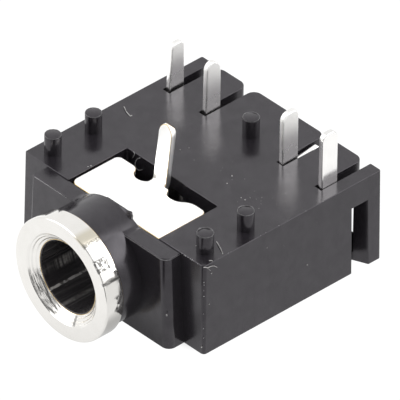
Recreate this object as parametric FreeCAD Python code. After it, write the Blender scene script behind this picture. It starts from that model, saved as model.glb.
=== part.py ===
import FreeCAD, Part
import math
import os

# Board-mounted audio jack socket for a 3.5 mm three-pole plug, lying on its
# roof with the solder pins up.  Millimetres.
# Origin: on the plug axis, in the plane of the main body's front face, which
# is also where the edge of the circuit board lies.  +Z towards the solder
# pins, -Y out of the plug's mouth, +X across.

V = FreeCAD.Vector

# ---------------------------------------------------------------- dimensions
BODY_X_ROOF = (-6.08, 6.04)   # main body, sides at the roof
BODY_X_BOARD = (-5.95, 5.98)  # and at the board face: the mould's draft
BODY_L = 11.0            # main body, front face to rear plane
AXIS_TO_ROOF = 2.5       # plug axis above the roof face the socket lies on
AXIS_TO_BOARD = 2.45     # plug axis below the board face
FRONT_EDGE_R = (0.1, 0.2)    # upright front edges of the main body, left and right
REAR_EDGE_R = 0.1

BLOCK_X_ROOF = (-4.6, 4.75)   # front block, sides at the roof
BLOCK_X_BOARD = (-4.47, 4.44)
BLOCK_OUT = 0.9          # how far it stands out, at its top
BLOCK_OUT_ROOF = 0.97
BLOCK_STEP = 0.07        # its top lies this far under the board face
BLOCK_EDGE_R = (0.12, 0.42)   # upright edges, left and right

BARREL_R = 2.92          # round barrel carrying the ring
BARREL_FRONT = -2.2
NOSE_R = 2.72            # spigot inside the ring
NOSE_FRONT = -2.8
BARREL_BLEND_R = 0.7     # hollow blend between barrel and block top
BORE_R = 1.8             # bore for the 3.5 mm plug
PLUG_R = 1.75

RING_R = 3.1
RING_FRONT = -3.2
RING_REAR = -2.2
RING_FACE_R = 2.32       # inner edge of the flat front face
RING_HOLE_R = 1.85       # small end of the lead-in cone
RING_EDGE_R = 0.1

WIN_HALF = 3.02          # window in the board face
WIN_REAR = 3.63
WIN_FLOOR = -1.45
WIN_CORNER_R = 0.1

ROOF_T = 0.5
LAND_T = 1.3             # thickness of the board-side plate at the rear
CHAMBER_HALF = 5.45
CHAMBER_FRONT = 4.15
SLOT_FRONT = 7.92        # front ends of the four terminal slots
SLOT_W = 0.44
SLOT_X = {"ring": -5.06, "ring_switch": -2.66, "tip_switch": 2.54, "tip": 5.06}
PIN_X = {"ring": -5.1, "ring_switch": -2.65, "tip_switch": 2.55, "tip": 5.12}
LAND_CORNER_R = 0.45
GROOVE_W = 0.34          # grooves in the roof that locate the terminals
GROOVE_DEPTH = 0.2

SIDE_OPEN_Y0 = 9.2       # opening in each side wall
SIDE_OPEN_Y1 = 10.25
LEG_INNER_X = 5.3        # corner legs behind the side openings
LEG_INNER_Y = 9.93

PEG_R = 0.4
PEG_H = 0.97
PEG_X = 5.08
PEG_Y0 = 0.93
PEG_Y1 = 3.43
REAR_PEG_Y = 8.5

T = 0.3                  # contact strip thickness
STRIP_HALF = 0.9         # half height of the spring strips
PIN_W = 0.98             # terminal pins, along Y
PIN_Y0 = 7.97
PIN_TOP = {"ring": 4.9, "ring_switch": 5.16, "tip_switch": 5.15, "tip": 5.37}
PIN_TAPER = {"ring": 0.24, "ring_switch": 0.1, "tip_switch": 0.05, "tip": 0.05}

BEND_R = 0.45            # hairpin bend of the springs, on the centre line
CUT_GAP = 0.03           # gap where a spring arm leaves its terminal
CONTACT_GAP = 0.02       # spring arm to switch contact, plug out
RING_HINGE = (-4.2, 9.25)
TIP_HINGE = (4.2, 5.1)
RING_BUMP = (-1.66, 5.6)
TIP_BUMP = (1.44, 9.55)

PLATE_TOP = 2.35         # sleeve plate, upper face
PLATE_HALF = 2.95
PLATE_Y0 = 0.06
PLATE_Y1 = 3.02
SLEEVE_PIN_X0 = -0.6
SLEEVE_PIN_X1 = 0.24
SLEEVE_PIN_LEAN = 7.7    # degrees, towards the rear
SLEEVE_PIN_TOP = 5.4
WING_Y0 = 0.75
WING_Y1 = 2.3

Z_ROOF = -AXIS_TO_ROOF
Z_BOARD = AXIS_TO_BOARD
Z_LAND = AXIS_TO_BOARD - LAND_T
Z_FLOOR = Z_ROOF + ROOF_T


# ------------------------------------------------------------------- helpers
def box(x0, x1, y0, y1, z0, z1):
    return Part.makeBox(x1 - x0, y1 - y0, z1 - z0, V(x0, y0, z0))


def prism(points, z0, z1):
    wire = Part.makePolygon([V(x, y, z0) for x, y in points] + [V(points[0][0], points[0][1], z0)])
    return Part.Face(wire).extrude(V(0, 0, z1 - z0))


def drafted(x_roof, x_top, y_roof, y_top, y_rear, z0, z1):
    """Block whose two sides and front lean with the mould's draft; upright rear."""
    xm, ym = 20.0, 20.0
    block = box(-xm, xm, -ym, y_rear, z0, z1)
    wire = Part.makePolygon([V(x_roof[0], -ym, z0), V(x_roof[1], -ym, z0), V(x_top[1], -ym, z1), V(x_top[0], -ym, z1),
                             V(x_roof[0], -ym, z0)])
    block = block.common(Part.Face(wire).extrude(V(0, 2 * ym, 0)))
    wire = Part.makePolygon([V(-xm, y_roof, z0), V(-xm, y_rear + 1, z0), V(-xm, y_rear + 1, z1), V(-xm, y_top, z1),
                             V(-xm, y_roof, z0)])
    return block.common(Part.Face(wire).extrude(V(2 * xm, 0, 0)))


def round_leaning(shape, x_side, y_low, y_high, radius):
    """Round the one leaning edge on the given side with its foot in y_low..y_high."""
    edges = []
    for e in shape.Edges:
        a, b = e.Vertexes[0].Point, e.Vertexes[-1].Point
        if abs(a.z - b.z) > 2.0 and a.x * x_side > 0 and y_low <= a.y <= y_high:
            edges.append(e)
    return shape.makeFillet(radius, edges)


def round_upright(shape, places, radius):
    """Round the vertical edges that stand at the given (x, y) places."""
    edges = []
    for e in shape.Edges:
        a, b = e.Vertexes[0].Point, e.Vertexes[-1].Point
        if abs(a.x - b.x) < 1e-6 and abs(a.y - b.y) < 1e-6 and abs(a.z - b.z) > 0.2:
            for (x, y) in places:
                if abs(a.x - x) < 1e-4 and abs(a.y - y) < 1e-4:
                    edges.append(e)
    return shape.makeFillet(radius, edges) if edges else shape


def ribbon(points, radii, thickness, lift):
    """Face of a bent strip seen on edge.

    points: centre line in the plane, radii: centre-line bend radius at each
    inner point, lift: maps (u, v) to space.
    """
    h = thickness / 2.0
    n = len(points)
    pts = [(float(a), float(b)) for a, b in points]
    sides = {}
    for side in (1, -1):
        edges = []
        cursor = None
        for i in range(n):
            if i in (0, n - 1):
                j = 1 if i == 0 else n - 1
                ax, ay = pts[j - 1]
                bx, by = pts[j]
                L = math.hypot(bx - ax, by - ay)
                nx, ny = -(by - ay) / L, (bx - ax) / L
                p = (pts[i][0] + side * h * nx, pts[i][1] + side * h * ny)
                if cursor is not None:
                    edges.append(("line", cursor, p))
                cursor = p
                continue
            (ax, ay), (bx, by), (cx, cy) = pts[i - 1], pts[i], pts[i + 1]
            L1 = math.hypot(bx - ax, by - ay)
            L2 = math.hypot(cx - bx, cy - by)
            u1 = ((bx - ax) / L1, (by - ay) / L1)
            u2 = ((cx - bx) / L2, (cy - by) / L2)
            cross = u1[0] * u2[1] - u1[1] * u2[0]
            dot = max(-1.0, min(1.0, u1[0] * u2[0] + u1[1] * u2[1]))
            phi = math.acos(dot)
            R = radii[i - 1]
            tl = R * math.tan(phi / 2.0)
            s = 1.0 if cross > 0 else -1.0
            t1 = (bx - u1[0] * tl, by - u1[1] * tl)
            t2 = (bx + u2[0] * tl, by + u2[1] * tl)
            n1 = (-u1[1], u1[0])
            n2 = (-u2[1], u2[0])
            ctr = (t1[0] + s * R * n1[0], t1[1] + s * R * n1[1])
            p1 = (t1[0] + side * h * n1[0], t1[1] + side * h * n1[1])
            p2 = (t2[0] + side * h * n2[0], t2[1] + side * h * n2[1])
            rr = R - s * side * h
            mx, my = (p1[0] + p2[0]) / 2.0 - ctr[0], (p1[1] + p2[1]) / 2.0 - ctr[1]
            ml = math.hypot(mx, my)
            pm = (ctr[0] + mx / ml * rr, ctr[1] + my / ml * rr)
            edges.append(("line", cursor, p1))
            edges.append(("arc", p1, pm, p2))
            cursor = p2
        sides[side] = edges
    out = []

    def make(e, rev=False):
        q = [lift(*p) for p in e[1:]]
        if rev:
            q = q[::-1]
        if e[0] == "line":
            if (q[0] - q[1]).Length > 1e-7:
                out.append(Part.makeLine(q[0], q[1]))
        else:
            out.append(Part.Arc(q[0], q[1], q[2]).toShape())

    first = sides[1]
    last = sides[-1]
    for e in first:
        make(e)
    out.append(Part.makeLine(lift(*first[-1][-1]), lift(*last[-1][-1])))
    for e in reversed(last):
        make(e, True)
    out.append(Part.makeLine(lift(*last[0][1]), lift(*first[0][1])))
    return Part.Face(Part.Wire(out))


def flat_strip(points, radii, z0=-STRIP_HALF, z1=STRIP_HALF):
    """Spring strip standing on edge, its centre line in the XY plane."""
    face = ribbon(points, radii, T, lambda u, v: V(u, v, z0))
    return face.extrude(V(0, 0, z1 - z0))


def blade(x, outline):
    """Plate of the strip's thickness in a plane of constant X.

    outline: list of (y, z), or ("arc", (y, z), (y, z)) for an arc through the
    middle point to the end point.
    """
    edges = []
    start = outline[0]
    cur = start
    for item in outline[1:]:
        if item[0] == "arc":
            m, e = item[1], item[2]
            edges.append(Part.Arc(V(x - T / 2, *cur), V(x - T / 2, *m), V(x - T / 2, *e)).toShape())
            cur = e
        else:
            edges.append(Part.makeLine(V(x - T / 2, *cur), V(x - T / 2, *item)))
            cur = item
    edges.append(Part.makeLine(V(x - T / 2, *cur), V(x - T / 2, *start)))
    return Part.Face(Part.Wire(edges)).extrude(V(T, 0, 0))


def pin_top(name, y0, y1):
    """Upper end of a solder pin, as (y, z) items for blade()."""
    z = PIN_TOP[name]
    f = y0 + PIN_TAPER[name]
    if name == "ring_switch":        # crown well forward, sloping off to the rear
        return [(f, z - 0.42), ("arc", (f + 0.12, z - 0.12), (f + 0.4 * (y1 - y0), z)),
                ("arc", (y1 - 0.13, z - 0.24), (y1, z - 0.62))]
    # flat top between a front and a rear corner radius
    rf, rr = {"ring": (0.22, 0.27), "tip_switch": (0.42, 0.3), "tip": (0.34, 0.42)}[name]
    q = 1 - math.sqrt(0.5)
    return [(f, z - rf), ("arc", (f + rf * q, z - rf * q), (f + rf, z)), (y1 - rr, z),
            ("arc", (y1 - rr * q, z - rr * q), (y1, z - rr))]


# ------------------------------------------------------------------- housing
def make_housing():
    body = drafted(BODY_X_ROOF, BODY_X_BOARD, 0, 0, BODY_L, Z_ROOF, Z_BOARD)
    for side, radius in ((-1, FRONT_EDGE_R[0]), (1, FRONT_EDGE_R[1])):
        body = round_leaning(body, side, -0.01, 0.01, radius)
        body = round_leaning(body, side, BODY_L - 0.01, BODY_L + 0.01, REAR_EDGE_R)

    z_block = Z_BOARD - BLOCK_STEP
    block = drafted(BLOCK_X_ROOF, BLOCK_X_BOARD, -BLOCK_OUT_ROOF, -BLOCK_OUT, 0.6, Z_ROOF, z_block)
    for side, radius in ((-1, BLOCK_EDGE_R[0]), (1, BLOCK_EDGE_R[1])):
        block = round_leaning(block, side, -1.2, -0.5, radius)

    barrel = Part.makeCylinder(BARREL_R, -BARREL_FRONT, V(0, BARREL_FRONT, 0), V(0, 1, 0))
    nose = Part.makeCylinder(NOSE_R, 1.0, V(0, NOSE_FRONT, 0), V(0, 1, 0))
    # behind the block's front the barrel goes no lower than the roof
    barrel = barrel.cut(box(-4, 4, -(BLOCK_OUT_ROOF - 0.03), 1, -4, Z_ROOF))

    shape = body.fuse([block, barrel, nose]).removeSplitter()

    # hollow blends where the barrel rises out of the block's top
    rb = BARREL_BLEND_R
    # circle of radius rb touching the block's top and the barrel
    zc = z_block + rb
    xc = math.sqrt((BARREL_R + rb) ** 2 - zc ** 2)
    k = BARREL_R / (BARREL_R + rb)
    xb = math.sqrt(BARREL_R ** 2 - z_block ** 2)
    mid = (math.atan2(-zc, -xc) - math.pi / 2) / 2.0
    for sx in (1, -1):
        a = V(sx * xc, -BLOCK_OUT, z_block)
        b = V(sx * xc * k, -BLOCK_OUT, zc * k)
        m = V(sx * (xc + rb * math.cos(mid)), -BLOCK_OUT, zc + rb * math.sin(mid))
        inner = V(sx * (xb - 0.5), -BLOCK_OUT, z_block - 0.4)
        wire = Part.Wire([Part.Arc(a, m, b).toShape(), Part.makeLine(b, inner), Part.makeLine(inner, a)])
        shape = shape.fuse(Part.Face(wire).extrude(V(0, BLOCK_OUT, 0)))
    shape = shape.removeSplitter()

    # window over the sleeve contact
    window = box(-WIN_HALF, WIN_HALF, 0, WIN_REAR, WIN_FLOOR, Z_BOARD + 2)
    window = round_upright(window, [(-WIN_HALF, WIN_REAR), (WIN_HALF, WIN_REAR)], WIN_CORNER_R)
    shape = shape.cut(window)

    # contact chamber, open to the rear between the corner legs
    shape = shape.cut(box(-CHAMBER_HALF, CHAMBER_HALF, CHAMBER_FRONT, SIDE_OPEN_Y1, Z_FLOOR, Z_LAND))
    shape = shape.cut(box(-LEG_INNER_X, LEG_INNER_X, CHAMBER_FRONT, BODY_L + 1, Z_FLOOR, Z_LAND))

    # side openings, running out at the roof, and the legs' slanted faces
    for s in (1, -1):
        shape = shape.cut(box(min(s * LEG_INNER_X, s * 7), max(s * LEG_INNER_X, s * 7),
                              SIDE_OPEN_Y0, SIDE_OPEN_Y1, Z_ROOF - 1, Z_LAND))
        outer = BODY_X_ROOF[1] if s > 0 else -BODY_X_ROOF[0]
        wedge = prism([(s * outer, SIDE_OPEN_Y1), (s * LEG_INNER_X, SIDE_OPEN_Y1), (s * LEG_INNER_X, LEG_INNER_Y)],
                      Z_ROOF, Z_LAND).common(drafted(BODY_X_ROOF, BODY_X_BOARD, 0, 0, BODY_L, Z_ROOF, Z_BOARD))
        shape = shape.fuse(wedge)

    # four terminal slots, open to the rear, and the locating grooves
    for name, x in SLOT_X.items():
        shape = shape.cut(box(x - SLOT_W / 2, x + SLOT_W / 2, SLOT_FRONT, BODY_L + 1, Z_LAND - 0.5, Z_BOARD + 1))
        g = PIN_X[name]
        shape = shape.cut(box(g - GROOVE_W / 2, g + GROOVE_W / 2, 7.3, BODY_L + 1, Z_FLOOR - GROOVE_DEPTH, Z_FLOOR + 0.1))

    # plug bore, through the barrel, the window pocket and the chamber
    shape = shape.cut(Part.makeCylinder(BORE_R, 16, V(0, -4, 0), V(0, 1, 0)))

    shape = shape.removeSplitter()
    places = []
    for x in SLOT_X.values():
        for s in (1, -1):
            xe = x + s * SLOT_W / 2
            if abs(xe) < 5.0:
                places.append((xe, BODY_L))
    shape = round_upright(shape, places, LAND_CORNER_R)

    # locating pegs
    pegs = []
    for x, y in ((-PEG_X, PEG_Y0), (-PEG_X, PEG_Y1), (PEG_X, PEG_Y0), (PEG_X, PEG_Y1), (0, REAR_PEG_Y)):
        pegs.append(Part.makeCylinder(PEG_R, PEG_H + 0.3, V(x, y, Z_BOARD - 0.3)))
    shape = shape.fuse(pegs)
    return shape.removeSplitter()


# ----------------------------------------------------------------- bush ring
def make_ring():
    r = RING_EDGE_R
    y0, y1 = RING_FRONT, RING_REAR
    s = math.sqrt(0.5)
    prof = [
        Part.makeLine(V(RING_HOLE_R, NOSE_FRONT, 0), V(RING_FACE_R, y0, 0)),
        Part.makeLine(V(RING_FACE_R, y0, 0), V(RING_R - r, y0, 0)),
        Part.Arc(V(RING_R - r, y0, 0), V(RING_R - r + r * s, y0 + r - r * s, 0), V(RING_R, y0 + r, 0)).toShape(),
        Part.makeLine(V(RING_R, y0 + r, 0), V(RING_R, y1 - 0.05, 0)),
        Part.makeLine(V(RING_R, y1 - 0.05, 0), V(RING_R - 0.05, y1, 0)),
        Part.makeLine(V(RING_R - 0.05, y1, 0), V(NOSE_R, y1, 0)),
        Part.makeLine(V(NOSE_R, y1, 0), V(NOSE_R, NOSE_FRONT, 0)),
        Part.makeLine(V(NOSE_R, NOSE_FRONT, 0), V(RING_HOLE_R, NOSE_FRONT, 0)),
    ]
    face = Part.Face(Part.Wire(prof))
    return face.revolve(V(0, 0, 0), V(0, 1, 0), 360)


# ------------------------------------------------------------ sleeve contact
def make_sleeve():
    z1 = PLATE_TOP
    z0 = PLATE_TOP - T
    y0, y1 = PLATE_Y0, PLATE_Y1
    h = PLATE_HALF
    c = 0.3
    f = 0.4
    # plan outline: rounded corners, a relief on each side of the pin
    pts = []

    def line(a, b):
        pts.append(Part.makeLine(V(a[0], a[1], z0), V(b[0], b[1], z0)))

    def arc(a, m, b):
        pts.append(Part.Arc(V(a[0], a[1], z0), V(m[0], m[1], z0), V(b[0], b[1], z0)).toShape())

    k = c * (1 - math.sqrt(0.5))
    kf = f * (1 - math.sqrt(0.5))
    line((-(h - f), y0), (h, y0))
    line((h, y0), (h, y1 - c))
    arc((h, y1 - c), (h - k, y1 - k), (h - c, y1))
    line((h - c, y1), (2.25, y1))
    arc((2.25, y1), (1.85, y1 - 0.1), (1.6, y1 - 0.3))
    arc((1.6, y1 - 0.3), (1.25, y1 - 0.47), (0.72, y1 - 0.42))
    line((0.72, y1 - 0.42), (0.5, y1 - 0.1))
    line((0.5, y1 - 0.1), (-0.6, y1 - 0.1))
    line((-0.6, y1 - 0.1), (-0.6, y1 - 0.34))
    arc((-0.6, y1 - 0.34), (-1.08, y1 - 0.57), (-1.52, y1 - 0.34))
    arc((-1.52, y1 - 0.34), (-1.68, y1 - 0.1), (-2.05, y1))
    line((-2.05, y1), (-(h - c), y1))
    arc((-(h - c), y1), (-(h - k), y1 - k), (-h, y1 - c))
    line((-h, y1 - c), (-h, y0 + f))
    arc((-h, y0 + f), (-(h - kf), y0 + kf), (-(h - f), y0))
    plate = Part.Face(Part.Wire(pts)).extrude(V(0, 0, T))

    # two wings running down from its underside, bulging in to grip the plug
    x_w = PLATE_HALF - T / 2
    zc = PLATE_TOP - T / 2
    shape = plate
    for s in (1, -1):
        centre = [(s * x_w, z0 + 0.1), (s * x_w, 1.15), (s * (PLUG_R + T / 2), 0.0), (s * 2.35, -1.05)]
        face = ribbon(centre, [0.5, 0.5], T, lambda u, v: V(u, WING_Y0, v))
        shape = shape.fuse(face.extrude(V(0, WING_Y1 - WING_Y0, 0)))

    # solder pin bent up from the rear edge
    lean = math.tan(math.radians(SLEEVE_PIN_LEAN))
    yb = 3.12 - lean * 0.1
    centre = [(2.3, zc), (yb, zc), (yb + lean * (SLEEVE_PIN_TOP - zc), SLEEVE_PIN_TOP)]
    face = ribbon(centre, [0.28], T, lambda u, v: V(SLEEVE_PIN_X0, u, v))
    pin = face.extrude(V(SLEEVE_PIN_X1 - SLEEVE_PIN_X0, 0, 0))
    # rounded point, cut in the plane of the pin
    w = SLEEVE_PIN_X1 - SLEEVE_PIN_X0
    xm = (SLEEVE_PIN_X0 + SLEEVE_PIN_X1) / 2.0
    zt = SLEEVE_PIN_TOP
    tip = [
        Part.makeLine(V(SLEEVE_PIN_X0, 2, zt - 0.5), V(SLEEVE_PIN_X0, 2, -3)),
        Part.makeLine(V(SLEEVE_PIN_X0, 2, -3), V(SLEEVE_PIN_X1, 2, -3)),
        Part.makeLine(V(SLEEVE_PIN_X1, 2, -3), V(SLEEVE_PIN_X1, 2, zt - 0.5)),
        Part.Arc(V(SLEEVE_PIN_X1, 2, zt - 0.5), V(SLEEVE_PIN_X1 - 0.1, 2, zt - 0.22), V(xm, 2, zt)).toShape(),
        Part.Arc(V(xm, 2, zt), V(SLEEVE_PIN_X0 + 0.1, 2, zt - 0.22), V(SLEEVE_PIN_X0, 2, zt - 0.5)).toShape(),
    ]
    pin = pin.common(Part.Face(Part.Wire(tip)).extrude(V(0, 3, 0)))
    # the point slopes down to the back
    yt = yb + lean * (zt - zc)
    slope = Part.makePolygon([V(-2, yt - 0.1, zt + 0.05), V(-2, yt + 0.6, zt - 0.75), V(-2, yt + 0.6, zt + 0.05),
                              V(-2, yt - 0.1, zt + 0.05)])
    pin = pin.cut(Part.Face(slope).extrude(V(4, 0, 0)))
    shape = shape.fuse(pin)
    return shape.removeSplitter()


# ----------------------------------------------------- contacts in the slots
def make_ring_terminal():
    x = PIN_X["ring"]
    y0, y1 = PIN_Y0, PIN_Y0 + PIN_W
    plate = blade(x, [(y0, Z_FLOOR - GROOVE_DEPTH), (y0, STRIP_HALF), (y0 - 0.35, STRIP_HALF), (y0 - 0.35, Z_LAND - 0.04),
                      (y0, Z_LAND - 0.04)] + pin_top("ring", y0, y1) + [(y1, Z_FLOOR - GROOVE_DEPTH)])
    hx, hy = RING_HINGE
    y_turn = 9.9
    strip = flat_strip([(x, y1 - 0.3), (x, y_turn), (hx, y_turn), (hx, hy + CUT_GAP)], [BEND_R - 0.01, BEND_R - 0.01])
    return plate.fuse(strip).removeSplitter()


def make_ring_arm():
    hx, hy = RING_HINGE
    bx, by = RING_BUMP
    return flat_strip([(hx, hy), (hx, hy - 0.2), (bx, by), (-2.35, 4.72)], [0.5, 0.35])


def make_tip_terminal():
    x = PIN_X["tip"]
    y0, y1 = PIN_Y0, PIN_Y0 + PIN_W
    plate = blade(x, [(y0, Z_FLOOR - GROOVE_DEPTH)] +
                  [(y0, Z_LAND - 0.04)] + pin_top("tip", y0, y1) +
                  [(y1, Z_LAND - 0.04), (y1 + 0.2, Z_LAND - 0.04), (y1 + 0.2, STRIP_HALF), (y1, STRIP_HALF),
                   (y1, Z_FLOOR - GROOVE_DEPTH)])
    hx, hy = TIP_HINGE
    y_turn = 4.45
    strip = flat_strip([(x, y0 + 0.3), (x, y_turn), (hx, y_turn), (hx, hy - CUT_GAP)], [BEND_R - 0.01, BEND_R - 0.01])
    return plate.fuse(strip).removeSplitter()


def make_tip_arm():
    hx, hy = TIP_HINGE
    bx, by = TIP_BUMP
    xs = PIN_X["tip_switch"] + T / 2 + CONTACT_GAP + T / 2
    return flat_strip([(hx, hy), (hx, hy + 0.2), (xs, 8.3), (xs, 9.05), (bx, by), (2.3, 10.25)],
                      [0.5, 0.6, 0.3, 0.3])


def make_ring_switch():
    x = PIN_X["ring_switch"]
    y0, y1 = PIN_Y0 + 0.04, PIN_Y0 + PIN_W
    yf = RING_SWITCH_Y0
    return blade(x, [(yf, Z_FLOOR - GROOVE_DEPTH), (yf, Z_LAND - 0.04), (y0, Z_LAND - 0.04)] +
                 pin_top("ring_switch", y0, y1) +
                 [(y1, Z_LAND - 0.04), (y1 + 0.2, Z_LAND - 0.04), (y1 + 0.2, Z_FLOOR - GROOVE_DEPTH)])


def make_tip_switch():
    x = PIN_X["tip_switch"]
    y0, y1 = PIN_Y0 - 0.03, PIN_Y0 + PIN_W - 0.03
    return blade(x, [(y0 - 0.25, Z_FLOOR - GROOVE_DEPTH), (y0 - 0.25, Z_LAND - 0.04), (y0, Z_LAND - 0.04)] +
                 pin_top("tip_switch", y0, y1) +
                 [(y1, 2.23), (10.25, 2.38), (10.25, Z_LAND + 0.02), (y1 - 0.05, Z_LAND + 0.02),
                  (y1 - 0.05, Z_FLOOR - GROOVE_DEPTH)])


# the ring switch contact ends where the resting ring arm meets its front edge
_hx, _hy = RING_HINGE[0], RING_HINGE[1] - 0.2
_dx, _dy = RING_BUMP[0] - _hx, RING_BUMP[1] - _hy
_len = math.hypot(_dx, _dy)
_off = (T / 2 + CONTACT_GAP) * _len / abs(_dy)
_xc = PIN_X["ring_switch"] - T / 2 - _off
RING_SWITCH_Y0 = _hy + _dy * (_xc - _hx) / _dx

PARTS = {
    "housing": make_housing,
    "bush_ring": make_ring,
    "sleeve_contact": make_sleeve,
    "ring_terminal": make_ring_terminal,
    "ring_spring_arm": make_ring_arm,
    "ring_switch_contact": make_ring_switch,
    "tip_switch_contact": make_tip_switch,
    "tip_terminal": make_tip_terminal,
    "tip_spring_arm": make_tip_arm,
}

os.makedirs("parts", exist_ok=True)
for name, make in PARTS.items():
    s = make()
    solids = s.Solids
    if len(solids) != 1:
        raise RuntimeError("%s has %d solids" % (name, len(solids)))
    s = solids[0]
    if not s.isValid():
        raise RuntimeError("%s is not valid" % name)
    s.exportStep("parts/%s.step" % name)
    bb = s.BoundBox
    print("%-22s vol %8.3f  x %6.2f..%5.2f y %6.2f..%5.2f z %6.2f..%5.2f" % (
        name, s.Volume, bb.XMin, bb.XMax, bb.YMin, bb.YMax, bb.ZMin, bb.ZMax))
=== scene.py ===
import math
import random

import bpy
import bmesh
from mathutils import Matrix, Vector


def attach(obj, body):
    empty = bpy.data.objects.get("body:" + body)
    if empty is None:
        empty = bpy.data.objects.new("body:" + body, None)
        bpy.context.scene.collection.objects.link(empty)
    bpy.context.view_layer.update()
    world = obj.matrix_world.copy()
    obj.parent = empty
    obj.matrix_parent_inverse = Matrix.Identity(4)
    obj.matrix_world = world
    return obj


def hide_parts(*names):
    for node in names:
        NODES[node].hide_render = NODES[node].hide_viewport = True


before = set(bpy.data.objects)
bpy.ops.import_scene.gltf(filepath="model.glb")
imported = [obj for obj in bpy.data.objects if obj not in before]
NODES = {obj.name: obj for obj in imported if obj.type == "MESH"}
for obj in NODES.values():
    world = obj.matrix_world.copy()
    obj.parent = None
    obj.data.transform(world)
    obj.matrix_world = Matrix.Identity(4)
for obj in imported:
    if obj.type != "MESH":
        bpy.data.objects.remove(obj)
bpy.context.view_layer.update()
MM = 0.001


# ---------------------------------------------------------------- materials
class Mat:
    """A small helper around one node-based material."""

    def __init__(self, name):
        self.mat = bpy.data.materials.new(name)
        self.mat.use_nodes = True
        self.nt = self.mat.node_tree
        self.nt.nodes.clear()
        self.out = self.nt.nodes.new("ShaderNodeOutputMaterial")
        self.bsdf = self.nt.nodes.new("ShaderNodeBsdfPrincipled")
        self.nt.links.new(self.bsdf.outputs[0], self.out.inputs["Surface"])
        tc = self.nt.nodes.new("ShaderNodeTexCoord")
        mp = self.nt.nodes.new("ShaderNodeMapping")
        mp.inputs["Scale"].default_value = (1000, 1000, 1000)
        self.nt.links.new(tc.outputs["Object"], mp.inputs["Vector"])
        self.mm = mp.outputs["Vector"]          # position in millimetres

    def put(self, n, key, v):
        sock = n.inputs[key.replace("_", " ")]
        if isinstance(v, bpy.types.NodeSocket):
            self.nt.links.new(v, sock)
        else:
            sock.default_value = v

    def stretch(self, sx, sy, sz, vec=None, shift=(0, 0, 0)):
        m = self.nt.nodes.new("ShaderNodeMapping")
        m.inputs["Scale"].default_value = (sx, sy, sz)
        m.inputs["Location"].default_value = shift
        self.nt.links.new(vec or self.mm, m.inputs["Vector"])
        return m.outputs["Vector"]

    def noise(self, scale, detail=3.0, rough=0.55, vec=None, distortion=0.0):
        n = self.nt.nodes.new("ShaderNodeTexNoise")
        n.inputs["Scale"].default_value = scale
        n.inputs["Detail"].default_value = detail
        n.inputs["Roughness"].default_value = rough
        n.inputs["Distortion"].default_value = distortion
        self.nt.links.new(vec or self.mm, n.inputs["Vector"])
        return n.outputs["Fac"]

    def voronoi(self, scale, vec=None, feature="F1"):
        n = self.nt.nodes.new("ShaderNodeTexVoronoi")
        n.feature = feature
        n.inputs["Scale"].default_value = scale
        self.nt.links.new(vec or self.mm, n.inputs["Vector"])
        return n.outputs["Distance"]

    def ramp(self, fac, stops, smooth=False):
        n = self.nt.nodes.new("ShaderNodeMapRange")
        (a, va), (b, vb) = stops
        n.inputs["From Min"].default_value = a
        n.inputs["From Max"].default_value = b
        n.inputs["To Min"].default_value = va
        n.inputs["To Max"].default_value = vb
        n.clamp = True
        if smooth:
            n.interpolation_type = "SMOOTHSTEP"
        self.nt.links.new(fac, n.inputs["Value"])
        return n.outputs["Result"]

    def math(self, op, a, b=None, c=None):
        n = self.nt.nodes.new("ShaderNodeMath")
        n.operation = op
        for i, v in enumerate((a, b, c)):
            if v is None:
                continue
            if isinstance(v, bpy.types.NodeSocket):
                self.nt.links.new(v, n.inputs[i])
            else:
                n.inputs[i].default_value = v
        return n.outputs[0]

    def mix(self, fac, a, b):
        n = self.nt.nodes.new("ShaderNodeMix")
        n.data_type = "RGBA"
        for sock, v in ((n.inputs[0], fac), (n.inputs[6], a), (n.inputs[7], b)):
            if isinstance(v, bpy.types.NodeSocket):
                self.nt.links.new(v, sock)
            elif sock.type == "RGBA" and len(v) == 3:
                sock.default_value = (*v, 1)
            else:
                sock.default_value = v
        return n.outputs[2]

    def bump(self, height, strength, distance_mm, normal=None):
        n = self.nt.nodes.new("ShaderNodeBump")
        n.inputs["Strength"].default_value = strength
        n.inputs["Distance"].default_value = distance_mm * MM
        self.nt.links.new(height, n.inputs["Height"])
        if normal is not None:
            self.nt.links.new(normal, n.inputs["Normal"])
        return n.outputs["Normal"]

    def set(self, **kw):
        for k, v in kw.items():
            self.put(self.bsdf, k, v)
        return self

    def xyz(self):
        n = self.nt.nodes.new("ShaderNodeSeparateXYZ")
        self.nt.links.new(self.mm, n.inputs[0])
        return n.outputs[0], n.outputs[1], n.outputs[2]

    def combine(self, *xyz):
        n = self.nt.nodes.new("ShaderNodeCombineXYZ")
        for i, v in enumerate(xyz):
            if isinstance(v, bpy.types.NodeSocket):
                self.nt.links.new(v, n.inputs[i])
            else:
                n.inputs[i].default_value = v
        return n.outputs[0]


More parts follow.
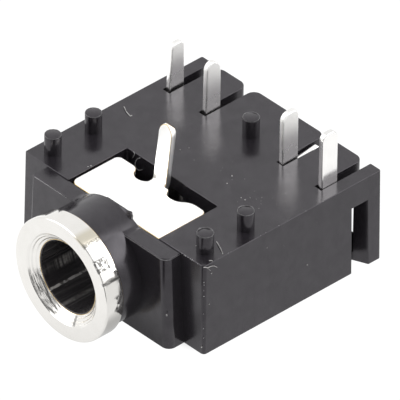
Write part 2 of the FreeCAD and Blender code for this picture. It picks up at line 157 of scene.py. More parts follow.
def plastic(name):
    """Black moulded plastic, glossy, with faint waves and sparse dust."""
    m = Mat(name)
    x, y, z = m.xyz()
    broad = m.noise(0.55, 2.0)
    fine = m.noise(7.0, 4.0, 0.6)
    grain = m.noise(34.0, 2.0, 0.5)
    tone = m.mix(m.ramp(fine, ((0.35, 0.0), (0.68, 1.0))), (0.0080, 0.0070, 0.0086), (0.0120, 0.0107, 0.0127))
    fleck = m.ramp(m.voronoi(3.4), ((0.03, 1.0), (0.07, 0.0)))
    pick = m.ramp(m.noise(1.3, 0.0), ((0.56, 0.0), (0.62, 1.0)))
    fleck = m.math("MULTIPLY", fleck, pick)
    tone = m.mix(m.math("MULTIPLY", fleck, 0.30), tone, (0.14, 0.135, 0.13))
    # plugs have left drag marks that run along the bore; the pale streaks along them are painted highlight
    r = m.math("SQRT", m.math("ADD", m.math("MULTIPLY", x, x), m.math("MULTIPLY", z, z)))
    inside = m.math("MULTIPLY", m.ramp(r, ((1.90, 1.0), (1.98, 0.0))), m.ramp(y, ((3.0, 1.0), (3.6, 0.0))))
    drag = m.noise(2.3, 4.0, 0.62, m.stretch(2.6, 0.10, 2.6))
    around = m.noise(4.5, 2.0, 0.5, m.combine(0.0, y, 0.0))
    broken = m.noise(3.4, 4.0, 0.65, m.stretch(1.4, 1.0, 1.4))
    drag_h = m.math("MULTIPLY", m.math("ADD", drag, m.math("MULTIPLY", around, 0.12)), inside)
    ang = m.math("ARCTAN2", z, x)

    def streak(centre, half, soft):
        d = m.math("ABSOLUTE", m.math("SUBTRACT", ang, math.radians(centre)))
        return m.ramp(d, ((math.radians(half), 1.0), (math.radians(half + soft), 0.0)), True)

    drag_and_painted_highlight = m.ramp(drag, ((0.46, 0.0), (0.78, 0.16)))
    hatch = m.ramp(m.noise(8.0, 2.0, 0.5, m.combine(0.0, y, 0.0)), ((0.42, 0.15), (0.55, 1.0)))
    mid = m.math("MULTIPLY", m.ramp(y, ((-2.1, 0.12), (-1.6, 1.0))), m.ramp(y, ((-0.7, 1.0), (-0.2, 0.12))))
    upper = m.math("MULTIPLY", m.math("MULTIPLY", hatch, mid), m.ramp(broken, ((0.36, 0.35), (0.62, 1.0))))
    drag_and_painted_highlight = m.math("ADD", drag_and_painted_highlight, m.math("MULTIPLY", streak(-160, 3.5, 7.0), m.math("MULTIPLY", upper, 0.8)))
    drag_and_painted_highlight = m.math("ADD", drag_and_painted_highlight, m.math("MULTIPLY", streak(-131, 0.9, 1.6), m.ramp(broken, ((0.44, 0.15), (0.58, 2.4)))))
    drag_and_painted_highlight = m.math("ADD", drag_and_painted_highlight, m.math("MULTIPLY", streak(-101, 1.0, 4.0), m.ramp(broken, ((0.40, 0.05), (0.62, 0.25)))))
    # painted light: a little pale is laid over the whole bore as well, and with the streaks it goes into the colour
    # below
    drag_and_painted_highlight = m.math("MULTIPLY", m.math("ADD", drag_and_painted_highlight, 0.03), inside)
    tone = m.mix(m.math("MINIMUM", drag_and_painted_highlight, 1.0), tone, (0.36, 0.345, 0.33))
    rough = m.math("ADD", m.ramp(broad, ((0.3, 0.170), (0.7, 0.215))), m.ramp(fine, ((0.3, -0.012), (0.7, 0.020))))
    rough = m.math("ADD", rough, m.math("MULTIPLY", inside, 0.05))
    n1 = m.bump(broad, 1.0, 0.014)
    n2 = m.bump(fine, 1.0, 0.0015, n1)
    n3 = m.bump(grain, 1.0, 0.0006, n2)
    n4 = m.bump(drag_h, 1.0, 0.045, n3)
    # handling has left the gloss uneven in soft patches
    patchy = m.math("ADD", m.ramp(m.noise(1.5, 4.0, 0.62, m.mm, 0.5), ((0.34, 0.445), (0.66, 0.555))),
                    m.ramp(grain, ((0.3, -0.03), (0.7, 0.03))))
    m.set(Base_Color=tone, Roughness=rough, IOR=1.5, Normal=n4, Specular_IOR_Level=patchy)
    m.bsdf.inputs["Specular Tint"].default_value = (0.975, 0.932, 1.0, 1.0)
    return m.mat


def contact_metal(name, base=(0.80, 0.78, 0.74), rough=0.24, gold=False, soft=0.0, tip=0.0):
    """Stamped strip, tin-plated: faint drawn lines and soft mottling."""
    m = Mat(name)
    lines = m.noise(3.0, 4.0, 0.6, m.stretch(8, 8, 0.6))
    mottle = m.noise(1.5, 4.0, 0.6)
    fine = m.noise(26, 3.0)
    dark = tuple(c * 0.965 for c in base)
    tone = m.mix(m.ramp(mottle, ((0.35, 0.0), (0.7, 1.0))), base, dark)
    if gold:
        tone = m.mix(m.ramp(fine, ((0.3, 0.0), (0.7, 1.0))), (0.62, 0.43, 0.16), (0.72, 0.55, 0.27))
    r = m.math("ADD", m.ramp(mottle, ((0.3, rough - 0.02), (0.7, rough + 0.03))), m.ramp(lines, ((0.3, -0.012), (0.7, 0.018))))
    if tip:
        x, y, z = m.xyz()
        r = m.math("ADD", r, m.ramp(z, ((2.9, 0.0), (4.9, tip)), True))
        # the sheared crown is duller than the rolled faces
        nt = m.mat.node_tree
        up = nt.nodes.new("ShaderNodeSeparateXYZ")
        nt.links.new(nt.nodes.new("ShaderNodeNewGeometry").outputs["Normal"], up.inputs[0])
        crown = m.math("MULTIPLY", m.ramp(up.outputs["Z"], ((0.15, 0.0), (0.6, 1.0))), m.ramp(z, ((4.2, 0.0), (4.4, 1.0))))
        tone = m.mix(crown, tone, tuple(c * 0.74 for c in base))
    n1 = m.bump(lines, 1.0, 0.0001 + soft)
    n2 = m.bump(fine, 1.0, 0.00006, n1)
    n3 = m.bump(m.noise(0.6, 1.0), 1.0, 0.008, n2)
    m.set(Base_Color=tone, Metallic=1.0, Roughness=r, Normal=n3)
    return m.mat


def ring_metal(name):
    """Nickel-plated turned ring: lathe lines round its axis, dark bands along it at set angles, a warm tinge, painted
    reflection on its cone.
    """
    m = Mat(name)
    x, y, z = m.xyz()
    r = m.math("SQRT", m.math("ADD", m.math("MULTIPLY", x, x), m.math("MULTIPLY", z, z)))
    turned = m.noise(22.0, 3.0, 0.6, m.combine(r, y, 0.0))
    mottle = m.noise(1.5, 4.0, 0.6)
    band_blotch = m.noise(4.2, 5.0, 0.72, m.mm, 0.8)
    ang = m.math("ARCTAN2", z, x)
    # two dark bands along the outside, at about 35 and 60 degrees up on the right
    out = m.ramp(r, ((2.95, 0.0), (3.02, 1.0)))

    def band(centre, half, soft):
        d = m.math("ABSOLUTE", m.math("SUBTRACT", ang, math.radians(centre)))
        return m.math("MULTIPLY", m.ramp(d, ((math.radians(half), 1.0), (math.radians(half + soft), 0.0)), True), out)

    marks = m.ramp(band_blotch, ((0.40, 0.0), (0.52, 1.0)))
    grainy = m.noise(11.0, 3.0, 0.65)
    front = m.ramp(y, ((-2.55, 1.0), (-2.38, 0.0)))
    b1 = m.math("MULTIPLY", m.math("MULTIPLY", band(40.5, 5.2, 1.5), marks), front)
    b2 = m.math("MULTIPLY", band(61.0, 1.5, 1.2), m.ramp(grainy, ((0.42, 0.15), (0.56, 0.75))))
    b3 = m.math("MULTIPLY", band(24.3, 0.8, 1.0), m.ramp(m.noise(3.0, 3.0), ((0.35, 0.4), (0.5, 1.0))))
    b4 = m.math("MULTIPLY", m.math("MULTIPLY", band(2.0, 5.0, 4.0), m.ramp(m.noise(2.2, 2.0, 0.5, m.mm, 0.6), ((0.47, 0.0), (0.52, 1.0)))),
                m.ramp(y, ((-2.8, 0.0), (-2.68, 1.0))))
    b1 = m.math("ADD", b1, m.math("ADD", b3, b4))
    tan = band(67.0, 3.0, 7.0)
    tone = m.mix(m.ramp(mottle, ((0.35, 0.0), (0.7, 1.0))), (0.715, 0.702, 0.676), (0.690, 0.676, 0.648))
    tone = m.mix(m.math("MULTIPLY", tan, 0.85), tone, (0.52, 0.48, 0.39))
    # painted reflection: dark streaks that follow the cone round its lower left, and a thin dark line at -70 degrees
    cone = m.math("MULTIPLY", m.ramp(r, ((1.88, 0.0), (1.92, 1.0))), m.ramp(r, ((2.28, 1.0), (2.34, 0.0))))
    cone = m.math("MULTIPLY", cone, m.ramp(y, ((-2.74, 1.0), (-2.70, 0.0))))
    arc_band = m.ramp(m.math("ABSOLUTE", m.math("SUBTRACT", ang, math.radians(-130))),
                      ((math.radians(24), 1.0), (math.radians(34), 0.0)), True)
    cone_painted_reflection = m.noise(1.0, 4.0, 0.6, m.combine(m.math("MULTIPLY", r, 13.0), m.math("MULTIPLY", ang, 3.0), 0.0))
    cone_painted_reflection = m.math("MULTIPLY", m.math("MULTIPLY", cone, arc_band), m.ramp(cone_painted_reflection, ((0.46, 0.0), (0.56, 1.0))))
    cone_reflection_line = m.ramp(m.math("ABSOLUTE", m.math("SUBTRACT", ang, math.radians(-70))), ((math.radians(1.8), 0.75), (math.radians(2.6), 0.0)))
    cone_painted_reflection = m.math("ADD", cone_painted_reflection, m.math("MULTIPLY", cone_reflection_line, cone))
    dark_bands_and_painted_reflection = m.math("MINIMUM", m.math("ADD", m.math("ADD", b1, b2), cone_painted_reflection), 1.0)
    # the dark bands and the painted cone reflection are mixed into the plating as near-black
    tone = m.mix(m.math("MULTIPLY", dark_bands_and_painted_reflection, 0.90), tone, (0.045, 0.044, 0.043))
    rough = m.math("ADD", m.ramp(mottle, ((0.3, 0.07), (0.7, 0.12))), m.math("MULTIPLY", dark_bands_and_painted_reflection, 0.25))
    n1 = m.bump(turned, 1.0, 0.0006)
    n2 = m.bump(m.noise(1.1, 2.0), 1.0, 0.012, n1)
    m.set(Base_Color=tone, Metallic=1.0, Roughness=rough, Normal=n2)
    return m.mat


def brass(name):
    """Thin line of bare brass where the plating ends."""
    m = Mat(name)
    fine = m.noise(18, 3.0)
    tone = m.mix(m.ramp(fine, ((0.35, 0.0), (0.65, 1.0))), (0.72, 0.47, 0.14), (0.86, 0.68, 0.34))
    m.set(Base_Color=tone, Metallic=1.0, Roughness=m.ramp(fine, ((0.3, 0.22), (0.7, 0.36))))
    return m.mat


def lint(name, tone):
    """Fine threads of flash and dust, matt and pale; on flash and nicks the pale grey is partly painted highlight."""
    m = Mat(name)
    n = m.noise(9.0, 2.0)
    c = m.mix(m.ramp(n, ((0.35, 0.0), (0.65, 1.0))), tone, tuple(v * 0.6 for v in tone))
    m.set(Base_Color=c, Roughness=m.ramp(n, ((0.3, 0.35), (0.7, 0.55))), IOR=1.5)
    return m.mat


M_PLASTIC = plastic("black_moulding")
M_RING = ring_metal("plated_ring")
M_SLEEVE = contact_metal("plated_sleeve", (0.985, 0.98, 0.965), 0.34)
M_PIN = contact_metal("plated_pins", (0.95, 0.942, 0.925), 0.24, tip=0.30)
M_TIP_PIN = contact_metal("plated_tip_pin", (0.95, 0.942, 0.925), 0.17, tip=0.01)
M_SPRING = contact_metal("plated_springs", (0.80, 0.77, 0.70), 0.24)
M_EDGE = contact_metal("sheared_edge", gold=True, rough=0.3)
M_BRASS = brass("bare_brass")
M_LINT = lint("pale_lint", (0.34, 0.33, 0.325))
M_DUST = lint("dust", (0.27, 0.265, 0.26))
# grey for flash ridges and peg rims: the flash is real, and its paleness is painted highlight
M_FLASH_AND_HIGHLIGHT = lint("thin_flash_and_painted_highlight", (0.085, 0.082, 0.086))
# pale grey for nicks and fine flash: partly scuffing, partly painted highlight along edges
M_SCUFF_AND_HIGHLIGHT = lint("scuffed_edge_and_painted_highlight", (0.20, 0.195, 0.20))


def collection_link(obj):
    bpy.context.scene.collection.objects.link(obj)
    return obj


def mesh_object(name, bm, materials, body, smooth_angle=None):
    bmesh.ops.recalc_face_normals(bm, faces=bm.faces)
    me = bpy.data.meshes.new(name)
    bm.to_mesh(me)
    bm.free()
    for mt in materials:
        me.materials.append(mt)
    o = collection_link(bpy.data.objects.new(name, me))
    if smooth_angle is not None:
        me.polygons.foreach_set("use_smooth", [True] * len(me.polygons))
        me.set_sharp_from_angle(angle=math.radians(smooth_angle))
    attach(o, body)
    return o


# ------------------------------------------- CAD nodes with worked edges
def plain_normals(me):
    """Forget normals that were stored for the unrounded shape."""
    stored = me.attributes.get("custom_normal")
    if stored is not None:
        me.attributes.remove(stored)


def mark_edges(me, degrees):
    """Smooth faces, sharp at every edge, inward or outward, beyond the angle."""
    bm = bmesh.new()
    bm.from_mesh(me)
    for f in bm.faces:
        f.smooth = True
    for e in bm.edges:
        e.smooth = len(e.link_faces) == 2 and e.calc_face_angle(0.0) < math.radians(degrees)
    bm.to_mesh(me)
    bm.free()


def worked(node, name, body, materials, bevel_mm, segments=2, least=28.0, edge_material=-1, sharp=50.0):
    """The node's own shape with only its outward edges rounded."""
    source = NODES[node].data.copy()
    plain_normals(source)
    bm = bmesh.new()
    bm.from_mesh(source)
    bmesh.ops.remove_doubles(bm, verts=bm.verts, dist=2e-7)
    bmesh.ops.dissolve_limit(bm, angle_limit=math.radians(0.6), verts=bm.verts, edges=bm.edges)
    layer = bm.edges.layers.float.get("bevel_weight_edge") or bm.edges.layers.float.new("bevel_weight_edge")
    for e in bm.edges:
        if len(e.link_faces) == 2:
            a = e.calc_face_angle_signed(0.0)
            if a > math.radians(least):
                e[layer] = 1.0
    me = bpy.data.meshes.new(name)
    bm.to_mesh(me)
    bm.free()
    for mt in materials:
        me.materials.append(mt)
    o = collection_link(bpy.data.objects.new(name, me))
    b = o.modifiers.new("edges", "BEVEL")
    b.width = bevel_mm * MM
    b.segments = segments
    b.limit_method = "WEIGHT"
    b.use_clamp_overlap = False
    b.miter_outer = "MITER_ARC"
    if edge_material >= 0:
        b.material = edge_material
    # the rounded mesh is settled first, so that its inward corners stay sharp
    deps = bpy.context.evaluated_depsgraph_get()
    settled = bpy.data.meshes.new_from_object(o.evaluated_get(deps))
    o.modifiers.clear()
    o.data = settled
    settled.name = name
    plain_normals(settled)
    mark_edges(settled, sharp)
    n = o.modifiers.new("normals", "WEIGHTED_NORMAL")
    n.keep_sharp = True
    n.weight = 70
    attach(o, body)
    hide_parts(node)
    return o


worked("housing", "housing_moulding", "housing", [M_PLASTIC], 0.04, 2)
worked("sleeve_contact", "sleeve_stamping", "housing", [M_SLEEVE, M_EDGE], 0.022, 1, edge_material=1)
for n in ("ring_terminal", "ring_switch_contact", "tip_switch_contact", "tip_terminal"):
    worked(n, n + "_stamping", "housing", [M_TIP_PIN if n == "tip_terminal" else M_PIN], 0.06, 3)
worked("ring_spring_arm", "ring_arm_strip", "ring_spring_arm", [M_SPRING], 0.03, 2)
worked("tip_spring_arm", "tip_arm_strip", "tip_spring_arm", [M_SPRING], 0.03, 2)


# ------------------------------------------------------------------ bush ring
def arc(cx, cy, r, a0, a1, n):
    out = []
    for i in range(n + 1):
        a = math.radians(a0 + (a1 - a0) * i / n)
        out.append((cx + r * math.cos(a), cy + r * math.sin(a)))
    return out


def ring_profile():
    """Closed section (radius, y) of the turned ring, with tool steps on its cone."""
    p = [(2.722, -2.2), (3.06, -2.2)]
    p += arc(3.05, -2.25, 0.05, 90, 0, 6)
    p += arc(3.0, -3.1, 0.1, 0, -90, 12)
    p += [(2.75, -3.2), (2.40, -3.2)]
    p += arc(2.36, -3.15, 0.05, -90, -139, 5)
    # cone down to the bore: three shallow steps left by the tool
    a, b = Vector((2.322, -3.182)), Vector((1.86, -2.80))
    d = (b - a)
    nrm = Vector((d.y, -d.x)).normalized()
    if nrm.y > 0:
        nrm = -nrm
    steps = 96
    for i in range(1, steps):
        t = i / steps
        h = 0.0
        for c, w, amp in ((0.20, 0.055, -0.013), (0.34, 0.035, 0.010), (0.47, 0.06, -0.016), (0.66, 0.04, 0.009),
                          (0.80, 0.05, -0.010)):
            h += 0.8 * amp * math.exp(-((t - c) / w) ** 2)
        h += 0.0012 * math.sin(t * 150.0)
        q = a + d * t + nrm * h
        p.append((q.x, q.y))
    p += [(1.85, -2.79), (1.86, -2.762), (2.722, -2.762)]
    return p


def lathe(profile, steps, wobble=0.0, seed=1):
    rnd = random.Random(seed)
    ph = [rnd.uniform(0, 6.28) for _ in range(4)]
    bm = bmesh.new()
    rings = []
    for i in range(steps):
        th = 2 * math.pi * i / steps
        w = wobble * sum(math.sin(k * th + ph[k - 2]) for k in (2, 3, 4, 5)) / 4.0
        rings.append([bm.verts.new((math.cos(th) * (r + w * (r > 1.9)) * MM, y * MM, math.sin(th) * (r + w * (r > 1.9)) * MM))
                      for r, y in profile])
    m = len(profile)
    for i in range(steps):
        a, b = rings[i], rings[(i + 1) % steps]
        for j in range(m):
            k = (j + 1) % m
            f = bm.faces.new((a[j], a[k], b[k], b[j]))
            f.smooth = True
    return bm


mesh_object("bush_ring_turned", lathe(ring_profile(), 288), [M_RING], "housing", 38)
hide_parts("bush_ring")


def hoop(name, radius, y, wire, material, a0=0, a1=360, steps=220):
    """Thin bead round the plug axis, whole or part."""
    bm = bmesh.new()
    rings = []
    whole = a1 - a0 >= 360
    n = steps if whole else steps + 1
    for i in range(n):
        th = math.radians(a0 + (a1 - a0) * i / steps)
        ring = []
        for j in range(6):
            q = 2 * math.pi * j / 6
            r = radius + wire * math.cos(q)
            ring.append(bm.verts.new((r * math.cos(th) * MM, (y + wire * math.sin(q)) * MM, r * math.sin(th) * MM)))
        rings.append(ring)
    for i in range(n if whole else n - 1):
        a, b = rings[i], rings[(i + 1) % n]
        for j in range(6):
            bm.faces.new((a[j], a[(j + 1) % 6], b[(j + 1) % 6], b[j]))
    if not whole:
        bm.faces.new(rings[0])
        bm.faces.new(list(reversed(rings[-1])))
    return mesh_object(name, bm, [material], "housing", 60)


hoop("ring_rear_line", 3.062, -2.215, 0.020, M_BRASS)
hoop("ring_inner_line", 1.868, -2.798, 0.016, M_BRASS)


# -------------------------------------------------- threads, nicks and flash
def thread(bm, pts, r0, r1, sides=5, smooth=True):
    """Round thread through the points, tapering from r0 to r1 (mm)."""
    P = [Vector(p) for p in pts]
    if smooth:
        Q = []
        for i in range(len(P) - 1):
            p0 = P[max(i - 1, 0)]
            p1, p2 = P[i], P[i + 1]
            p3 = P[min(i + 2, len(P) - 1)]
            for s in range(5):
                t = s / 5.0
                Q.append(0.5 * ((2 * p1) + (p2 - p0) * t + (2 * p0 - 5 * p1 + 4 * p2 - p3) * t * t
                                + (3 * p1 - p0 - 3 * p2 + p3) * t ** 3))
        Q.append(P[-1])
        P = Q
    rings = []
    n = len(P)
    for i, p in enumerate(P):
        d = (P[min(i + 1, n - 1)] - P[max(i - 1, 0)]).normalized()
        u = d.cross(Vector((0.31, 0.2, 0.93))).normalized()
        v = d.cross(u)
        r = r0 + (r1 - r0) * i / (n - 1)
        rings.append([bm.verts.new((p + (u * math.cos(2 * math.pi * k / sides) + v * math.sin(2 * math.pi * k / sides)) * r) * MM)
                      for k in range(sides)])
    for a, b in zip(rings, rings[1:]):
        for k in range(sides):
            bm.faces.new((a[k], a[(k + 1) % sides], b[(k + 1) % sides], b[k]))
    bm.faces.new(rings[0])
    bm.faces.new(list(reversed(rings[-1])))


def crumb(bm, at, size, rnd, flat=0.6):
    """Small irregular lump, sunk a little into the surface under it."""
    res = bmesh.ops.create_icosphere(bm, subdivisions=2, radius=size * MM)
    sx, sy = rnd.uniform(0.7, 1.5), rnd.uniform(0.7, 1.4)
    rot = Matrix.Rotation(rnd.uniform(0, math.pi), 3, "Z")
    for v in res["verts"]:
        c = Vector((v.co.x * sx, v.co.y * sy, v.co.z * flat)) * rnd.uniform(0.82, 1.15)
        v.co = rot @ c + Vector(at) * MM


Z0 = 2.45
bm = bmesh.new()
thread(bm, [(-5.44, 5.65, Z0 + .03), (-5.3, 5.57, Z0 + .05), (-5.09, 5.46, Z0 + .05), (-4.88, 5.40, Z0 + .03),
            (-4.72, 5.37, Z0 + .015), (-4.70, 5.47, Z0 + .01)], 0.016, 0.024)
thread(bm, [(4.98, 1.73, Z0 + .02), (5.26, 1.59, Z0 + .05), (5.59, 1.44, Z0 + .04), (5.86, 1.29, Z0 + .01)], 0.02, 0.02)
thread(bm, [(5.98, 0.01, 2.43), (6.00, 0.10, 2.40), (6.014, 0.24, 2.32), (6.018, 0.42, 2.305), (6.018, 0.62, 2.225),
            (6.014, 0.80, 2.06)], 0.024, 0.012)
thread(bm, [(6.008, 0.19, 2.29), (6.012, 0.29, 2.22), (6.010, 0.40, 2.07)], 0.010, 0.007)
thread(bm, [(5.80, 0.51, Z0 + .01), (5.87, 0.56, Z0 + .025), (5.93, 0.60, Z0 + .015)], 0.030, 0.024)
mesh_object("moulding_threads", bm, [M_LINT], "housing", 60)

bm = bmesh.new()
# curl of flash hanging at the rear of the window; its pale grey is partly painted highlight
thread(bm, [(-2.60, 3.62, 2.47), (-2.50, 3.60, 2.40), (-2.56, 3.60, 2.24), (-2.63, 3.61, 2.10)], 0.02, 0.016)
thread(bm, [(-1.98, 3.46, 2.52), (-2.16, 3.45, 2.36), (-2.28, 3.44, 2.08), (-2.26, 3.45, 1.86), (-2.10, 3.50, 1.74),
            (-1.98, 3.62, 1.80)], 0.018, 0.014)
mesh_object("window_flash_curl", bm, [M_SCUFF_AND_HIGHLIGHT], "housing", 60)

rnd = random.Random(41)
bm = bmesh.new()
for x, y in ((-1.12, 5.69), (-1.28, 5.29), (3.55, 5.13), (2.04, 5.11), (3.51, 4.86), (3.28, 4.83), (1.77, 5.67), (-4.93, 0.93),
             (4.58, 0.84), (-3.13, 1.31), (-3.09, 1.46)):
    crumb(bm, (x, y, Z0 + 0.004), rnd.uniform(0.022, 0.034), rnd)
for i in range(14):                              # finer dust in front of the right-hand pins
    at = (min(max(rnd.gauss(4.3, 0.7), 2.2), 5.7), min(max(rnd.gauss(5.3, 0.7), 3.9), 7.0), Z0 + 0.002)
    crumb(bm, at, rnd.uniform(0.008, 0.014), rnd)
for i in range(14):
    crumb(bm, (rnd.uniform(-5.4, 2.2), rnd.uniform(4.4, 7.3), Z0 + 0.002), rnd.uniform(0.007, 0.012), rnd)
for y, z in ((0.48, 1.87), (0.34, 0.22), (3.9, 1.6), (6.4, -0.6)):
    crumb(bm, (6.0 + (2.45 - z) / 4.95 * 0.06 - 0.015, y, z), rnd.uniform(0.028, 0.036), rnd, 0.9)
crumb(bm, (4.58, -0.93, -0.55), 0.036, rnd, 1.6)
crumb(bm, (5.92, -0.005, -2.08), 0.030, rnd, 1.4)
mesh_object("surface_dust", bm, [M_DUST], "housing", 60)

# nicks along the long top edge on the right, and down the front right corner; their pale grey is partly painted
# highlight
bm = bmesh.new()
for y in (0.95, 1.49, 1.62, 1.75, 2.9, 3.53, 3.86, 4.63, 5.22, 5.81, 6.3, 7.4):
    crumb(bm, (5.950 + rnd.uniform(-0.02, 0.01), y + rnd.uniform(-0.05, 0.05), Z0 - 0.012), rnd.uniform(0.012, 0.024), rnd, 0.7)
for z, s in ((1.57, 0.022), (1.43, 0.016), (0.80, 0.020), (-1.02, 0.022), (-1.55, 0.018), (-0.2, 0.012), (1.1, 0.012)):
    crumb(bm, (5.985 + rnd.uniform(-0.012, 0.008), 0.035, z), s, rnd, rnd.uniform(1.0, 2.6))
for x, s in ((4.55, 0.026), (4.72, 0.034), (4.80, 0.030), (4.95, 0.022), (5.10, 0.030), (5.22, 0.036), (5.32, 0.026), (5.6, 0.02)):
    crumb(bm, (x, 0.012, 2.425), s, rnd, 0.8)
mesh_object("edge_nicks", bm, [M_SCUFF_AND_HIGHLIGHT], "housing", 60)


def ridge(name, pts, width, height, normal, seed, material=M_FLASH_AND_HIGHLIGHT):
    """Thin parting line standing out of a face along the points."""
    rnd = random.Random(seed)
    P = [Vector(p) for p in pts]
    Q = []
    for a, b in zip(P, P[1:]):
        n = max(2, int((b - a).length / 0.06))
        Q += [a.lerp(b, i / n) for i in range(n)]
    Q.append(P[-1])
    bm = bmesh.new()
    nv = Vector(normal)
    rows = []
    for i, p in enumerate(Q):
        d = (Q[min(i + 1, len(Q) - 1)] - Q[max(i - 1, 0)]).normalized()
        side = d.cross(nv).normalized()
        h = height * rnd.uniform(0.55, 1.25)
        w = width * rnd.uniform(0.8, 1.2)
        p = p + side * rnd.uniform(-0.006, 0.006)
        rows.append([bm.verts.new((p - side * w - nv * 0.03) * MM), bm.verts.new((p - side * w * 0.5 + nv * h * 0.8) * MM),
                     bm.verts.new((p + side * w * 0.4 + nv * h) * MM), bm.verts.new((p + side * w - nv * 0.03) * MM)])
    for a, b in zip(rows, rows[1:]):
        for k in range(4):
            bm.faces.new((a[k], a[(k + 1) % 4], b[(k + 1) % 4], b[k]))
    bm.faces.new(rows[0])
    bm.faces.new(list(reversed(rows[-1])))
    return mesh_object(name, bm, [material], "housing", 35)


# parting lines just under the block's top, round its right-hand corner and along the left; their pale grey is partly
# painted highlight
r = 0.40
corner = [(4.445 - r + r * math.cos(math.radians(a)), -0.912 + r + r * math.sin(math.radians(a)), 2.315) for a in range(-90, 1, 10)]
ridge("block_parting_right", [(1.55, -0.912, 2.33), (2.6, -0.912, 2.325)] + corner + [(4.445, -0.03, 2.32)],
      0.022, 0.026, (0.35, -0.94, 0.0), 5)
ridge("block_parting_left", [(-4.30, -0.912, 2.35), (-3.0, -0.912, 2.35), (-2.1, -0.912, 2.345)], 0.010, 0.012, (0, -1, 0), 6, M_SCUFF_AND_HIGHLIGHT)

# ragged flash left on top of the barrel where it meets the window
bm = bmesh.new()
rnd = random.Random(9)
rows = []
xs = [-0.42 + 1.72 * i / 34 for i in range(35)]
for i, x in enumerate(xs):
    t = i / 34
    top = 2.885 + rnd.uniform(-0.008, 0.008)
    lo = math.sqrt(max(2.90 ** 2 - x * x, 0)) - 0.05
    reach = 0.02 + (0.05 if 0.83 < t < 0.97 else 0.0) * rnd.uniform(0.5, 1.2)
    if t > 0.9:
        top -= 0.10 * (t - 0.9) / 0.1
    rows.append([bm.verts.new((x * MM, (-0.16) * MM, (lo) * MM)), bm.verts.new((x * MM, (-0.05) * MM, top * MM)),
                 bm.verts.new((x * MM, reach * MM, top * MM)), bm.verts.new((x * MM, reach * 0.6 * MM, (top - 0.12) * MM)),
                 bm.verts.new((x * MM, -0.02 * MM, (lo - 0.05) * MM))])
for a, b in zip(rows, rows[1:]):
    for k in range(5):
        bm.faces.new((a[k], a[(k + 1) % 5], b[(k + 1) % 5], b[k]))
bm.faces.new(rows[0])
bm.faces.new(list(reversed(rows[-1])))
mesh_object("barrel_flash", bm, [M_PLASTIC], "housing", 30)


def peg_burr(name, cx, cy, seed, rough_rim):
    """Uneven rim thrown up round the top of a locating peg; its pale grey is partly painted rim highlight."""
    rnd = random.Random(seed)
    top = 3.42
    n = 56
    bm = bmesh.new()
    rows = []
    ph = [rnd.uniform(0, 6.28) for _ in range(3)]
    for i in range(n):
        th = 2 * math.pi * i / n
        h = 0.5 + 0.5 * math.sin(2 * th + ph[0]) * math.sin(3 * th + ph[1])
        h = rough_rim * (0.15 + h * rnd.uniform(0.4, 1.0))
        ro = 0.398 + 0.10 * h + rnd.uniform(-0.003, 0.006)
        c, s = math.cos(th), math.sin(th)
        rows.append([bm.verts.new(((cx + c * 0.385) * MM, (cy + s * 0.385) * MM, (top - 0.05) * MM)),
                     bm.verts.new(((cx + c * ro) * MM, (cy + s * ro) * MM, (top - 0.02) * MM)),
                     bm.verts.new(((cx + c * (ro - 0.012)) * MM, (cy + s * (ro - 0.012)) * MM, (top + h) * MM)),
                     bm.verts.new(((cx + c * 0.345) * MM, (cy + s * 0.345) * MM, (top - 0.02) * MM))])
    for i in range(n):
        a, b = rows[i], rows[(i + 1) % n]
        for k in range(4):
            bm.faces.new((a[k], a[(k + 1) % 4], b[(k + 1) % 4], b[k]))
    return mesh_object(name, bm, [M_FLASH_AND_HIGHLIGHT], "housing", 40)


peg_burr("peg_burr_front_left", -5.08, 0.93, 11, 0.018)
peg_burr("peg_burr_rear_left", -5.08, 3.43, 12, 0.014)
peg_burr("peg_burr_front_right", 5.08, 0.93, 13, 0.07)
peg_burr("peg_burr_rear_right", 5.08, 3.43, 14, 0.05)
peg_burr("peg_burr_rear", 0.0, 8.5, 15, 0.05)

# ------------------------------------------------------------ floor and light
scene = bpy.context.scene
scene.view_settings.view_transform = "Standard"
scene.view_settings.look = "None"
scene.view_settings.exposure = 0.0
scene.view_settings.gamma = 1.0

# The socket leans 2.4 degrees to lie on its ring and its rear roof edge; the
# floor takes that slope, so both touch it.
mesh = bpy.data.meshes.new("floor")
bm = bmesh.new()
slope = (3.1 - 2.5) / (11.0 + 3.2)
S = 400.0
quad = []
for sx, sy in ((-S, -S), (S, -S), (S, S), (-S, S)):
    quad.append(bm.verts.new((sx * MM, sy * MM, (-3.1 + (sy + 3.2) * slope - 0.004) * MM)))
bm.faces.new(quad)
bm.to_mesh(mesh)
bm.free()
floor = bpy.data.objects.new("floor", mesh)
scene.collection.objects.link(floor)
fm = bpy.data.materials.new("pale_floor")
fm.use_nodes = True
nt = fm.node_tree
nt.nodes.clear()
out = nt.nodes.new("ShaderNodeOutputMaterial")
em = nt.nodes.new("ShaderNodeEmission")
em.inputs["Color"].default_value = (1.0, 1.0, 1.0, 1)

# the floor is shaded only where the socket itself covers it


def fnode(kind):
    return nt.nodes.new(kind)


ftc = fnode("ShaderNodeTexCoord")
fsep = fnode("ShaderNodeSeparateXYZ")
nt.links.new(ftc.outputs["Object"], fsep.inputs[0])


def fade(value, a, b):
    r = fnode("ShaderNodeMapRange")
    r.interpolation_type = "SMOOTHSTEP"
    r.inputs["From Min"].default_value = a * MM
    r.inputs["From Max"].default_value = b * MM
    nt.links.new(value, r.inputs["Value"])
    return r.outputs["Result"]


def times(a, b):
    r = fnode("ShaderNodeMath")
    r.operation = "MULTIPLY"
    nt.links.new(a, r.inputs[0])
    nt.links.new(b, r.inputs[1])
    return r.outputs[0]


ax = fnode("ShaderNodeMath")
ax.operation = "ABSOLUTE"
nt.links.new(fsep.outputs[0], ax.inputs[0])
under_body = times(fade(ax.outputs[0], 5.6, 4.2), times(fade(fsep.outputs[1], -0.2, 1.6), fade(fsep.outputs[1], 10.6, 9.2)))


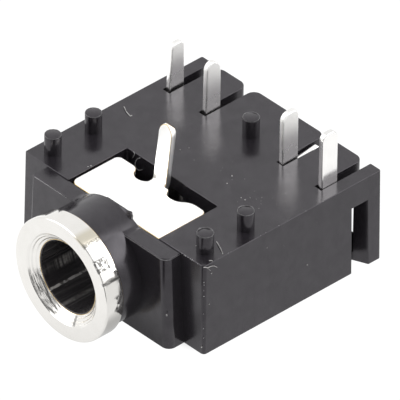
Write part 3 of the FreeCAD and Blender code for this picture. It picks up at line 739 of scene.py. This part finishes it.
def lerp(fac, a, b):
    r = fnode("ShaderNodeMapRange")
    nt.links.new(fac, r.inputs["Value"])
    for key, v in (("To Min", a), ("To Max", b)):
        if isinstance(v, bpy.types.NodeSocket):
            nt.links.new(v, r.inputs[key])
        else:
            r.inputs[key].default_value = v
    return r.outputs["Result"]


# the white ground shows no shadow, but the plating mirrors one
# round the foot of the neck, and the light falls off toward the rear right
diag = fnode("ShaderNodeMath")
nt.links.new(fsep.outputs[0], diag.inputs[0])
nt.links.new(fsep.outputs[1], diag.inputs[1])
open_floor = lerp(fade(diag.outputs[0], 2.0, -10.0), 1.06, 1.27)
foot = times(fade(ax.outputs[0], 5.4, 3.2), times(fade(fsep.outputs[1], -3.6, -1.6), fade(fsep.outputs[1], 1.8, 0.4)))
mirrored = lerp(foot, open_floor, 0.58)
# far in front lies the foot of the black card that the ring's cone mirrors
wedge = fnode("ShaderNodeMath")
wedge.operation = "MULTIPLY_ADD"
nt.links.new(fsep.outputs[1], wedge.inputs[0])
wedge.inputs[1].default_value = 0.5
nt.links.new(fsep.outputs[0], wedge.inputs[2])
wide = fnode("ShaderNodeMath")
wide.operation = "ABSOLUTE"
nt.links.new(wedge.outputs[0], wide.inputs[0])
spread = fnode("ShaderNodeMath")
spread.operation = "MULTIPLY_ADD"
nt.links.new(fsep.outputs[1], spread.inputs[0])
spread.inputs[1].default_value = 0.25
nt.links.new(wide.outputs[0], spread.inputs[2])
card_foot = times(fade(spread.outputs[0], 0.6, -1.0), fade(fsep.outputs[1], -9.0, -12.0))
mirrored = lerp(card_foot, mirrored, 0.05)
mirrored = lerp(under_body, mirrored, 0.12)
seen = lerp(under_body, 1.06, 0.12)
path = fnode("ShaderNodeLightPath")
nt.links.new(lerp(path.outputs["Is Camera Ray"], mirrored, seen), em.inputs["Strength"])
nt.links.new(em.outputs[0], out.inputs["Surface"])
floor.data.materials.append(fm)

# Soft white studio: an even surround, two large soft boxes and two black cards.
world = bpy.data.worlds.new("studio")
scene.world = world
world.use_nodes = True
wn = world.node_tree
wn.nodes.clear()
wo = wn.nodes.new("ShaderNodeOutputWorld")
bg = wn.nodes.new("ShaderNodeBackground")
tc = wn.nodes.new("ShaderNodeTexCoord")


def wmath(op, a, b):
    n = wn.nodes.new("ShaderNodeMath")
    n.operation = op
    for i, v in enumerate((a, b)):
        if isinstance(v, bpy.types.NodeSocket):
            wn.links.new(v, n.inputs[i])
        else:
            n.inputs[i].default_value = v
    return n.outputs[0]


def patch(direction, inner, outer):
    """1 inside the inner angle round a direction, falling to 0 at the outer one."""
    d = Vector(direction).normalized()
    n = wn.nodes.new("ShaderNodeVectorMath")
    n.operation = "DOT_PRODUCT"
    wn.links.new(tc.outputs["Generated"], n.inputs[0])
    n.inputs[1].default_value = d
    mr = wn.nodes.new("ShaderNodeMapRange")
    mr.interpolation_type = "SMOOTHSTEP"
    mr.inputs["From Min"].default_value = math.cos(math.radians(outer))
    mr.inputs["From Max"].default_value = math.cos(math.radians(inner))
    wn.links.new(n.outputs["Value"], mr.inputs["Value"])
    return mr.outputs["Result"]


level = wmath("ADD", 1.5, wmath("MULTIPLY", patch((0.587, 0.552, 0.593), 18, 34), 3.6))
level = wmath("ADD", level, wmath("MULTIPLY", patch((-0.587, -0.552, 0.593), 15, 32), 3.6))
for way, inner, outer in (((0.37, -0.92, 0.13), 14, 19), ((0.00, -0.89, 0.455), 11, 16)):
    level = wmath("MULTIPLY", level, wmath("SUBTRACT", 1.0, wmath("MULTIPLY", patch(way, inner, outer), 0.98)))
level = wmath("MULTIPLY", level, wmath("SUBTRACT", 1.0, wmath("MULTIPLY", patch((0.84, 0.545, 0.03), 3, 7), 0.92)))
level = wmath("MULTIPLY", level, wmath("SUBTRACT", 1.0, wmath("MULTIPLY", patch((-0.78, -0.52, 0.35), 1.6, 3.2), 0.85)))
wn.links.new(level, bg.inputs["Strength"])
wn.links.new(bg.outputs[0], wo.inputs["Surface"])

# -------------------------------------------------------------------- camera
A, E, ROLL = math.radians(46.768), math.radians(36.357), math.radians(0.583)
back = Vector((math.sin(A) * math.cos(E), -math.cos(A) * math.cos(E), math.sin(E)))
right = (-back).cross(Vector((0, 0, 1))).normalized()
up = right.cross(-back).normalized()
R = right * math.cos(ROLL) + up * math.sin(ROLL)
U = up * math.cos(ROLL) - right * math.sin(ROLL)
cam_data = bpy.data.cameras.new("camera")
cam_data.sensor_width = 36.0
cam_data.sensor_fit = "HORIZONTAL"
cam_data.lens = 14247.488 / 400.0 * 36.0
cam_data.clip_start = 0.01
cam_data.clip_end = 10.0
cam = bpy.data.objects.new("camera", cam_data)
scene.collection.objects.link(cam)
cam.matrix_world = Matrix((
    (R.x, U.x, back.x, 380.23 * MM),
    (R.y, U.y, back.y, -352.10 * MM),
    (R.z, U.z, back.z, 384.44 * MM),
    (0, 0, 0, 1)))
scene.camera = cam
